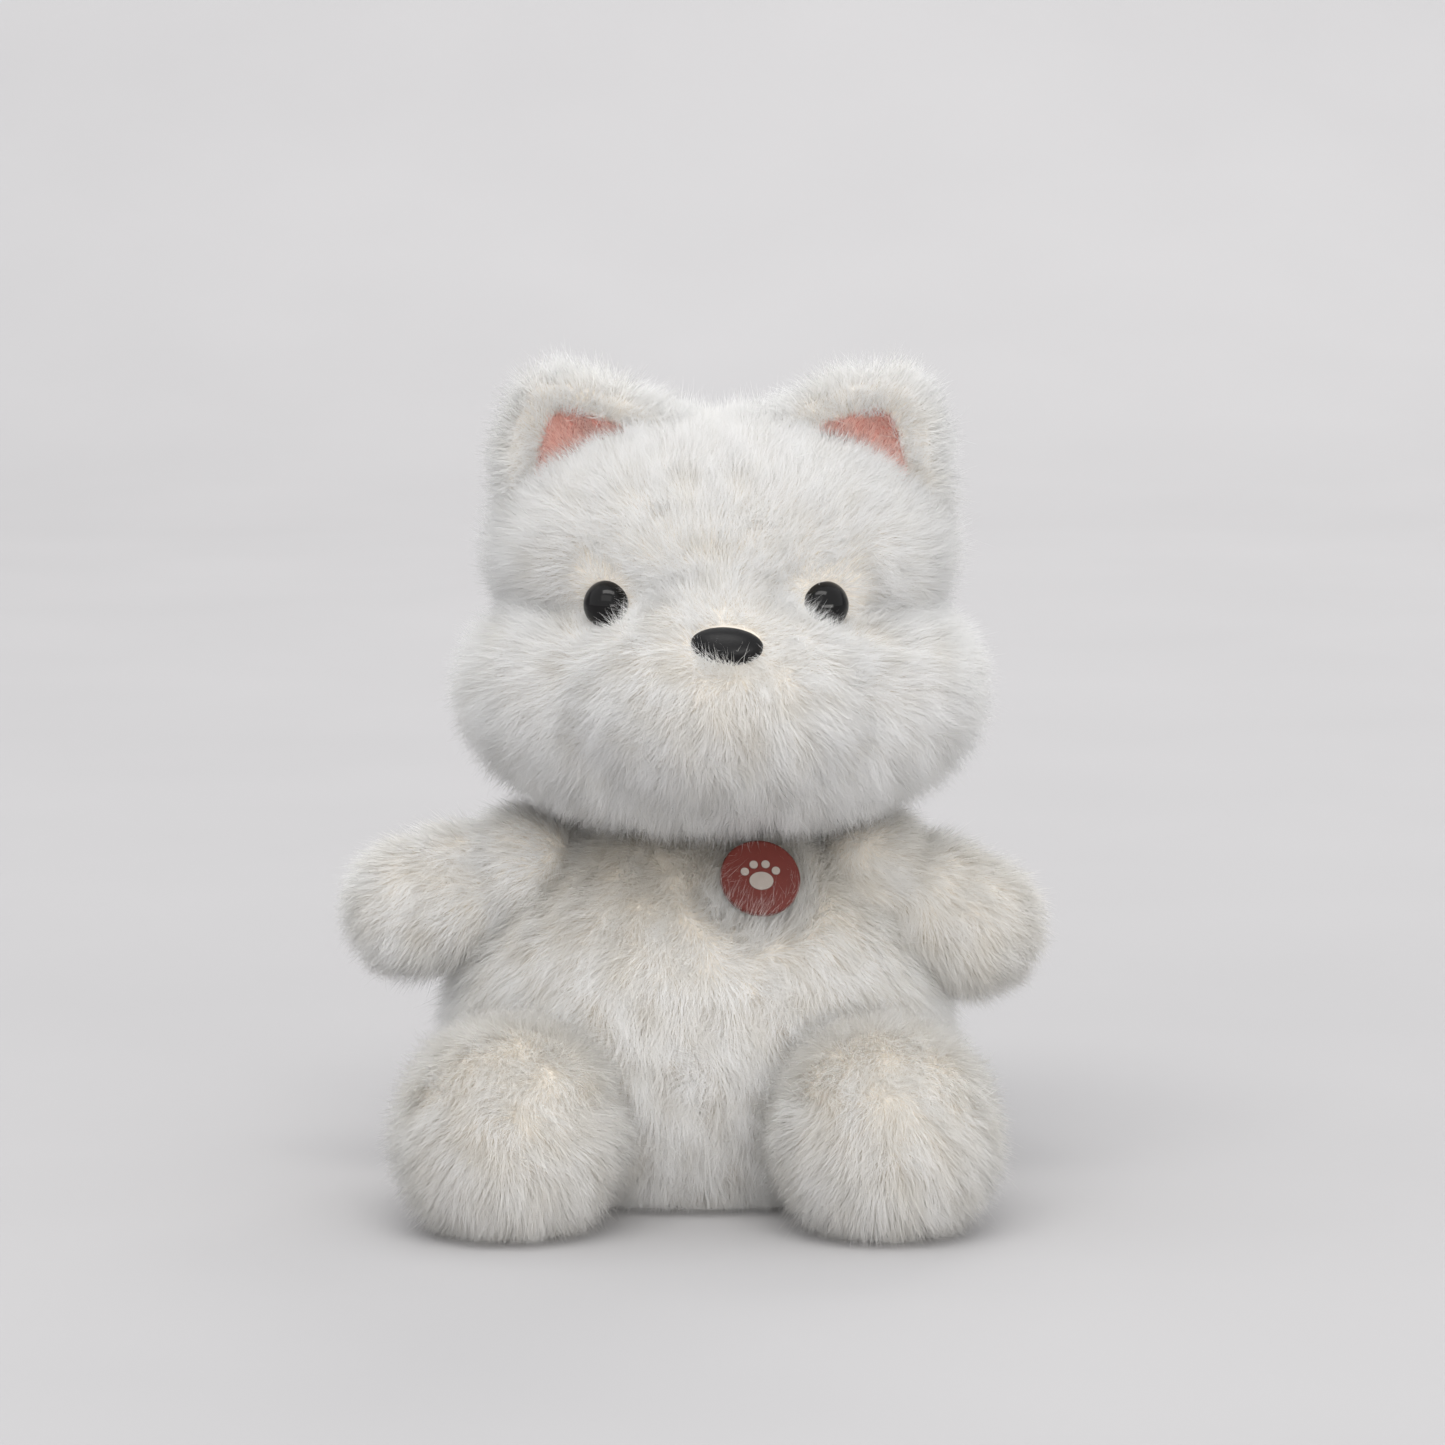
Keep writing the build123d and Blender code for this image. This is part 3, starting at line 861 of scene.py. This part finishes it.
eyeMaterial = mouldedPlastic("polished_black_abs")
for side, sign in (("left", 1), ("right", -1)):
    profile = [(0, -2.2 * mm), (5.0 * mm, -2.2 * mm), (5.7 * mm, -1.6 * mm)]
    for t in np.linspace(0.0, math.pi / 2, 16)[:-1]:
        profile.append((eye["radius"] * math.cos(t), eye["lift"] * math.sin(t)))
    profile.append((0, eye["lift"]))
    dome = turned(f"{side}_eye_dome", profile, 56)
    way = Vector((sign * eye["way"][0], *eye["way"][1:])).normalized()
    turn = way.to_track_quat("Z", "Y").to_matrix().to_4x4()
    fitButton(dome, f"{side}_eye", eyeMaterial, eyeAt[side], turn)

profile = [(0, -2.6 * mm)]
for t in np.linspace(-0.7, math.pi / 2, 24)[:-1]:
    profile.append((math.cos(t) ** 0.86, nose["half"][2] * math.sin(t)))
profile.append((0, nose["half"][2]))
noseButton = turned("nose_button", profile, 72)
co = coordinates(noseButton.data)
co[:, 0] *= nose["half"][0]
co[:, 1] *= np.where(co[:, 1] > 0, 0.7, 0.92) * nose["half"][1]  # flatter over the top, fuller below
setCoordinates(noseButton.data, co)
noseWay = Vector(nose["way"]).normalized()
noseTurn = Matrix((Vector((1, 0, 0)), noseWay.cross(Vector((1, 0, 0))), noseWay)).transposed().to_4x4()
noseTurn = noseTurn @ Matrix.Rotation(math.radians(nose["roll"]), 4, "Z")
fitButton(noseButton, "nose", mouldedPlastic("grained_black_abs"), noseAt, noseTurn)


def paint(node, material):
    cad = frame["nodes"][node]
    cad.data.materials.clear()
    cad.data.materials.append(material)


washerMaterial = mouldedPlastic("natural_polypropylene")
for node in ("badge_washer", "left_eye_washer", "right_eye_washer", "nose_washer"):
    paint(node, washerMaterial)
paint("badge_disc", mouldedPlastic("red_enamel"))
paint("badge_mark", mouldedPlastic("pale_enamel"))
print("eyes, nose and badge fitted")

# arms and legs: where their skins lie, which the body's pile has to know too
arm = {
    "radius": 12.5 * mm,
    "fuller": 2 * mm,  # at the shoulder
    "droop": {"left": 27.0, "right": 17.0},  # degrees
    "pile": 7.5 * mm,
    # painted shade on each arm's pile, more on the left arm than the right
    "shade": {"left": 0.7, "right": 0.4},
}
leg = {
    "hip": 21 * mm,
    "foot": (24.5 * mm, 24 * mm, 25.5 * mm),
    "footX": 46 * mm,
    "footZ": 24.5 * mm,
    "pile": 8.2 * mm,
    "whorl": 37 * mm,  # height of the arc over the toes where the pile parts
    "soleKeep": 0.6,
    # painted shade on the legs' pile, darker and creamier all over
    "shade": 0.6,
}
bodyMiddle, bodyHalf = boxOf("body_front_panel", "body_back_panel", "body_seat_panel")[2:]
bodyLumps = [((0, bodyMiddle[1], 40 * mm), (bodyHalf[0], bodyHalf[1], 56 * mm), None)]
armLumps, armWays, legLumps, footAt = {}, {}, {}, {}
for side, sign in (("left", 1), ("right", -1)):
    root = jointAt(f"{side}_arm_raise")
    turn = Matrix.Rotation(sign * math.radians(arm["droop"][side]), 4, "Y")
    way = np.array(turn.to_3x3() @ Vector((sign, 0, 0)))
    armWays[side] = way
    lift = np.array([0, 0, 1.5 * mm])
    armLumps[side] = [
        (tuple(root + lift), (arm["radius"] + arm["fuller"],) * 3, None),
        (tuple(root + way * 20 * mm + lift), (22 * mm, 13.5 * mm, 15 * mm), turn),
        (tuple(root + way * 29 * mm + lift), (15 * mm, 13 * mm, 15 * mm), turn),
    ]
    low = boxOf(f"{side}_leg_inner_panel", f"{side}_leg_outer_panel")[0]
    hip = jointAt(f"{side}_leg_lift")
    foot = np.array([sign * leg["footX"], low[1] + leg["foot"][1], leg["footZ"]])
    footAt[side] = foot
    legLumps[side] = [
        (tuple(hip), (leg["hip"],) * 3, None),
        (tuple((hip + foot) / 2 + np.array([0, 0, -1 * mm])), (22 * mm, 23 * mm, 22 * mm), None),
        (tuple(foot), leg["foot"], None),
    ]

# tail
tail = {"radius": 9 * mm, "length": 19 * mm, "rise": 38, "pile": 10 * mm}
tailTurn = Matrix.Rotation(math.radians(tail["rise"]), 4, "X")
tailWay = np.array(tailTurn.to_3x3() @ Vector((0, 1, 0)))
tailRoot = jointAt("tail_wag")
tailLumps = [
    (tuple(tailRoot), (tail["radius"],) * 3, None),
    (tuple(tailRoot + tailWay * 15 * mm), (tail["radius"], tail["length"], tail["radius"]), tailTurn),
]
tailSkin = sewnSkin("tail_skin", lumpMesh(tailLumps), 4, voxel=1.4 * mm)
dress(tailSkin, "tail", ("tail_panel", "tail_stuffing"))
coat("tail_pile", tailSkin, "tail",
     lambda p, n: (np.tile(tailWay, (len(p), 1)), tail["pile"], 0.65, 0.1, 0.18),
     lambda p, n: np.ones(len(p)))

# body: pear with a flat seat
body = {"chestPile": 8.0 * mm, "bellyPile": 9.5 * mm, "seatPile": 5.0 * mm}
badgeWay = unit(np.array([0.15, -0.82, 0.55]))
badgeAt = boxOf("badge_mark")[2]
bodySeam = boxOf("body_back_panel")[0][1]
bodySkin = sewnSkin("body_skin", lumpMesh(bodyLumps), 4, floor=0.6 * mm)
dress(bodySkin, "torso", ("body_front_panel", "body_back_panel", "body_seat_panel", "body_stuffing"))


def fromBadge(points):
    # distance from the line through the badge's middle
    away = points - badgeAt
    return np.linalg.norm(away - (away @ badgeWay)[:, None] * badgeWay, axis=1)


def bodyCombing(points, ways):
    comb = np.stack([points[:, 0] * 8, points[:, 1] * 5, -np.ones(len(points))], 1)
    upward = ramp(points[:, 2], 45 * mm, 70 * mm)
    length = body["bellyPile"] + (body["chestPile"] - body["bellyPile"]) * upward
    under = ramp(-points[:, 2], -12 * mm, 0)
    length = length + (body["seatPile"] - length) * under
    # the pile round the badge stands up past its rim, and the pile under it stops at its back
    away = fromBadge(points)
    front = points[:, 1] < -15 * mm
    ring = ramp(-away, -20 * mm, -15 * mm) * front
    length = length + 3.6 * mm * ring * ramp(away, 10.8 * mm, 11.6 * mm)
    comb = unit(comb) * (1 - ring)[:, None] + unit(badgeAt - points) * (ring * 0.9)[:, None]
    room = ((badgeAt - points) @ badgeWay - 2.2 * mm) / np.maximum(ways @ badgeWay, 0.3)
    beneath = (away < 10.8 * mm) & front
    length = np.where(beneath, np.clip(room * 0.85, 1 * mm, 9 * mm), length)
    return comb, length, (0.7 + 0.25 * under) * (1 - 0.5 * ring), 0.12 * (1 - ring), 0.16 * (1 - ring)


def bodyKeep(points, ways):
    chance = np.ones(len(points))
    for side in ("left", "right"):
        chance[inside(points, armLumps[side], 0.5 * mm) < 1] = 0
        chance[inside(points, legLumps[side], 0.5 * mm) < 1] = 0
    chance[inside(points, tailLumps) < 1] = 0
    chance[points[:, 2] < 1.5 * mm] = 0.5
    chance[points[:, 2] > 91 * mm] = 0.3
    chance[(fromBadge(points) < 1.8 * mm) & (points[:, 1] < -15 * mm)] = 0
    return chance


def bodyShade(points):
    # painted shade: darkest and creamiest under the chin, in the head's shadow, a little less over the
    # belly
    front = ramp(-points[:, 1], -10 * mm, 15 * mm)
    return (0.4 + 0.6 * ramp(points[:, 2], 62 * mm, 82 * mm)) * front


coat("body_front_pile", bodySkin, "torso", bodyCombing, lambda p, n: bodyKeep(p, n) * (p[:, 1] < bodySeam),
     shade=bodyShade)
coat("body_back_pile", bodySkin, "torso", bodyCombing, lambda p, n: bodyKeep(p, n) * (p[:, 1] >= bodySeam),
     shade=bodyShade)

# neck: a stuffed roll hidden by the coats of head and body
neckMiddle = boxOf("neck_panel")[2]
neckLumps = [(tuple(neckMiddle), (17 * mm, 17 * mm, 5.2 * mm), None)]
neckSkin = sewnSkin("neck_skin", lumpMesh(neckLumps), 2, voxel=1.4 * mm, stuff=False)
dress(neckSkin, "neck", ("neck_panel", "neck_stuffing"))
coat("neck_pile", neckSkin, "neck", lambda p, n: (p - neckMiddle, 4 * mm, 0.8, 0.1, 0.2),
     lambda p, n: (np.abs(n[:, 2]) < 0.8) * 1.0)
print("body, neck and tail grown")


def buildArm(side):
    way = armWays[side]
    skin = sewnSkin(f"{side}_arm_skin", lumpMesh(armLumps[side]), 6, voxel=1.6 * mm)
    dress(skin, f"{side}_arm", [f"{side}_arm_{n}" for n in ("front_panel", "back_panel", "stuffing")])
    coat(f"{side}_arm_pile", skin, f"{side}_arm",
         lambda p, n: (np.tile(way, (len(p), 1)) + np.array([0, 0, -0.3]), arm["pile"], 0.68, 0.08, 0.14),
         lambda p, n: (inside(p, bodyLumps, -1 * mm) > 1) * 1.0, shade=lambda p: arm["shade"][side])


def buildLeg(side, sign):
    foot = footAt[side]
    skin = sewnSkin(f"{side}_leg_skin", lumpMesh(legLumps[side]), 8, floor=0.6 * mm, voxel=2 * mm)
    dress(skin, f"{side}_leg", [f"{side}_leg_{n}" for n in ("inner_panel", "outer_panel", "stuffing")])

    def legCombing(points, ways):
        # pile lies forward over the top and ends in an arc, under which the toe's pile fans out and down
        whorl = np.array([foot[0], foot[1] - leg["foot"][1], leg["whorl"]])
        forward = np.tile(np.array([sign * 0.1, -1.0, -0.25]), (len(points), 1))
        fan = unit(points - whorl - np.array([0, 0, 5 * mm]))
        fan[:, 2] -= 0.3
        arc = leg["whorl"] - 0.22 * np.abs(points[:, 0] - whorl[0])
        front = ramp(-points[:, 1], -foot[1] + 2 * mm, -foot[1] + 10 * mm)
        front = front * ramp(arc - points[:, 2], -3 * mm, 2 * mm)
        comb = forward * (1 - front)[:, None] + fan * front[:, None]
        crown = np.exp(-((np.linalg.norm(points - whorl, axis=1) / (12 * mm)) ** 2))
        lean = 0.74 - 0.14 * front - 0.18 * crown * front
        return comb, leg["pile"] * (1 - 0.12 * crown), lean, 0.08, 0.15

    def legKeep(points, ways):
        onSole = points[:, 2] < 1.5 * mm
        return (inside(points, bodyLumps, -1 * mm) > 1) * np.where(onSole, leg["soleKeep"], 1.0)

    coat(f"{side}_leg_pile", skin, f"{side}_leg", legCombing, legKeep, shade=lambda p: leg["shade"])


for side, sign in (("left", 1), ("right", -1)):
    buildArm(side)
    buildLeg(side, sign)
print("arms and legs grown")
